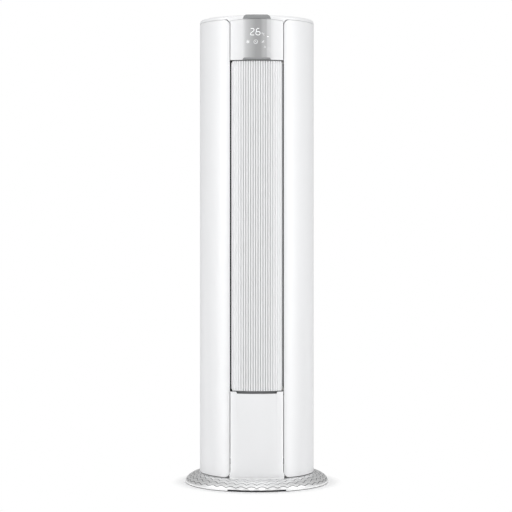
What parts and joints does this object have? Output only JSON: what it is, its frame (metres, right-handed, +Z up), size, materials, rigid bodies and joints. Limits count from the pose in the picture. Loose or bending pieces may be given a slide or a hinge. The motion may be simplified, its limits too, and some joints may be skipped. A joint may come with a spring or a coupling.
{
  "type": "floor standing air conditioner",
  "caption": "Tall round indoor unit on a flared foot, with a fluted outlet door that turns aside, swing vanes, cross-flow fan, coil and rear inlet grille.",
  "frame": {"origin": "centre of the footprint, on the floor", "axes": "+Z up, -Y towards the front with the display and outlet door, +X to the right seen from the front"},
  "size_m": [0.5399, 0.54, 1.75],
  "materials": {
    "cabinet_white": "semi-gloss white",
    "door_white": "semi-gloss white, fluted",
    "silver_foot": "satin silver, embossed waves",
    "dark_steel": "black paint",
    "galvanised_steel": "galvanised sheet",
    "grey_trim": "satin grey",
    "silver_window": "silver gradient",
    "dark_plastic": "matte black",
    "inner_plastic": "matte ivory",
    "foam_grey": "insulating plastic",
    "filter_mesh": "woven mesh in its frame",
    "coil_aluminium": "thin fins",
    "copper": "drawn copper",
    "brass": "turned brass",
    "bright_steel": "turned",
    "motor_black": "black paint",
    "board_green": "laminate",
    "gear_ivory": "acetal"
  },
  "bodies": {
    "cabinet": {"base_flange": "silver_foot", "base_plate": "dark_steel", "chassis_posts": "galvanised_steel", "lower_deck": "galvanised_steel", "upper_deck": "galvanised_steel", "right_side_panel": "cabinet_white", "left_side_panel": "cabinet_white", "rear_casing": "cabinet_white", "top_cover": "cabinet_white", "top_trim": "grey_trim", "display_panel": "cabinet_white", "display_window": "silver_window", "display_board": "board_green", "chin_trim": "grey_trim", "outlet_frame": "dark_plastic", "door_motor": "motor_black", "vane_motor": "motor_black", "guide_grille": "dark_plastic", "duct_scroll": "foam_grey", "duct_tongue": "foam_grey", "fan_motor": "motor_black", "motor_bracket": "galvanised_steel", "fan_bearing": "dark_plastic", "coil_fins": "coil_aluminium", "coil_end_plates": "galvanised_steel", "coil_tubes": "copper", "drain_pan": "inner_plastic", "refrigerant_pipes": "copper", "flare_unions": "brass", "heater": "coil_aluminium", "electrical_box": "galvanised_steel", "control_board": "board_green", "wall_bracket": "galvanised_steel"},
    "door": {"outlet_door": "door_white", "door_carriers": "gear_ivory"},
    "pinion": {"door_pinion": "gear_ivory"},
    "left_vane": {"vane_left": "dark_plastic"},
    "middle_vane": {"vane_middle": "dark_plastic"},
    "right_vane": {"vane_right": "dark_plastic"},
    "link_bar": {"vane_link": "dark_plastic"},
    "fan": {"cross_flow_fan": "dark_plastic", "fan_shaft": "bright_steel"},
    "front_panel": {"lower_front_panel": "cabinet_white", "pull_cup": "grey_trim"},
    "rear_grille": {"inlet_grille": "cabinet_white", "air_filter": "filter_mesh"}
  },
  "joints": [
    {"name": "door_turn", "type": "hinge", "parent": "cabinet", "child": "door", "pos_m": [0, 0, 0.36], "axis": [0, 0, 1], "range_deg": [0, 57]},
    {"name": "pinion_spin", "type": "hinge", "parent": "cabinet", "child": "pinion", "pos_m": [0.09259, -0.14257, 0.36], "axis": [0, 0, 1], "range_deg": [-5, 580]},
    {"name": "vanes_swing", "type": "hinge", "parent": "cabinet", "child": "middle_vane", "pos_m": [0, -0.16, 0.97], "axis": [0, 0, 1], "range_deg": [-35, 35]},
    {"name": "left_vane_swing", "type": "hinge", "parent": "cabinet", "child": "left_vane", "pos_m": [-0.052, -0.16, 0.97], "axis": [0, 0, 1], "range_deg": [-35, 35]},
    {"name": "right_vane_swing", "type": "hinge", "parent": "cabinet", "child": "right_vane", "pos_m": [0.052, -0.16, 0.97], "axis": [0, 0, 1], "range_deg": [-35, 35]},
    {"name": "link_swing", "type": "hinge", "parent": "middle_vane", "child": "link_bar", "pos_m": [0, -0.146, 1.56], "axis": [0, 0, 1], "range_deg": [-35, 35]},
    {"name": "fan_spin", "type": "hinge", "parent": "cabinet", "child": "fan", "pos_m": [0.015, 0, 0.97], "axis": [0, 0, 1], "continuous": true},
    {"name": "panel_pull", "type": "slide", "parent": "cabinet", "child": "front_panel", "axis": [0, -1, 0], "range_m": [0, 0.06]},
    {"name": "grille_pull", "type": "slide", "parent": "cabinet", "child": "rear_grille", "axis": [0, 1, 0], "range_m": [0, 0.06]}
  ],
  "couplings": [
    {"joint": "pinion_spin", "follows": "door_turn", "ratio": 10.067},
    {"joint": "left_vane_swing", "follows": "vanes_swing", "ratio": 1},
    {"joint": "right_vane_swing", "follows": "vanes_swing", "ratio": 1},
    {"joint": "link_swing", "follows": "vanes_swing", "ratio": -1}
  ]
}
